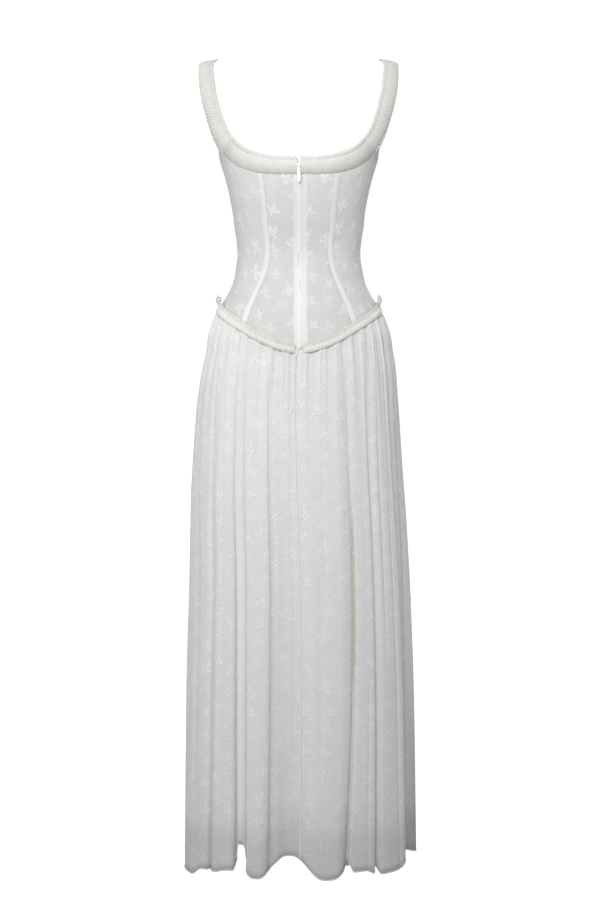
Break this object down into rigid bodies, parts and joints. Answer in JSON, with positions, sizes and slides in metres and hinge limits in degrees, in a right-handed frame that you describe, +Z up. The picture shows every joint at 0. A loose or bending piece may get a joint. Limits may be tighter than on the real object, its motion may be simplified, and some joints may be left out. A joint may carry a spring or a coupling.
{
  "type": "maxi dress",
  "caption": "Sleeveless full-length dress with a fitted panelled bodice, gathered neck band, pointed waist seam and gathered skirt, filled out as if worn.",
  "frame": {"origin": "midway between the shoulders, level with the top of the straps", "axes": "+Z up, -Y the back with the zip, +X the wearer's right side, seen on the right from behind"},
  "size_m": [0.424, 0.3249, 1.4558],
  "materials": {
    "figured_cotton": "semi-sheer white cloth with small woven motifs, matt",
    "gathered_trim": "cream gathered cloth, matt",
    "lining": "plain white lining, soft sheen",
    "tape": "close-woven white tape and casing",
    "zip_enamel": "white enamelled slider and pull"
  },
  "bodies": {
    "dress": {"neck_band_back_right": "gathered_trim", "neck_band_back_left": "gathered_trim", "neck_band_front": "gathered_trim", "bodice_back_centre_left": "figured_cotton", "bodice_back_centre_right": "figured_cotton", "bodice_back_side_left": "figured_cotton", "bodice_back_side_right": "figured_cotton", "bodice_front_side_right": "figured_cotton", "bodice_front_centre": "figured_cotton", "bodice_front_side_left": "figured_cotton", "bone_casing_back_left": "tape", "bone_casing_back_right": "tape", "bone_casing_front_right": "tape", "bone_casing_front_left": "tape", "zip_tape_left": "tape", "zip_tape_right": "tape", "armhole_binding_right": "gathered_trim", "armhole_binding_left": "gathered_trim", "waist_trim_back_right": "gathered_trim", "waist_trim_back_left": "gathered_trim", "waist_trim_front": "gathered_trim", "skirt_back_left": "figured_cotton", "skirt_back_right": "figured_cotton", "skirt_front": "figured_cotton", "lining_back": "lining", "lining_front": "lining", "zip_slider": "zip_enamel"},
    "pull": {"zip_pull": "zip_enamel"}
  },
  "joints": [
    {"name": "pull_swing", "type": "hinge", "parent": "dress", "child": "pull", "pos_m": [0, -0.1043, -0.207], "axis": [-1, 0, 0], "range_deg": [0, 150]}
  ]
}
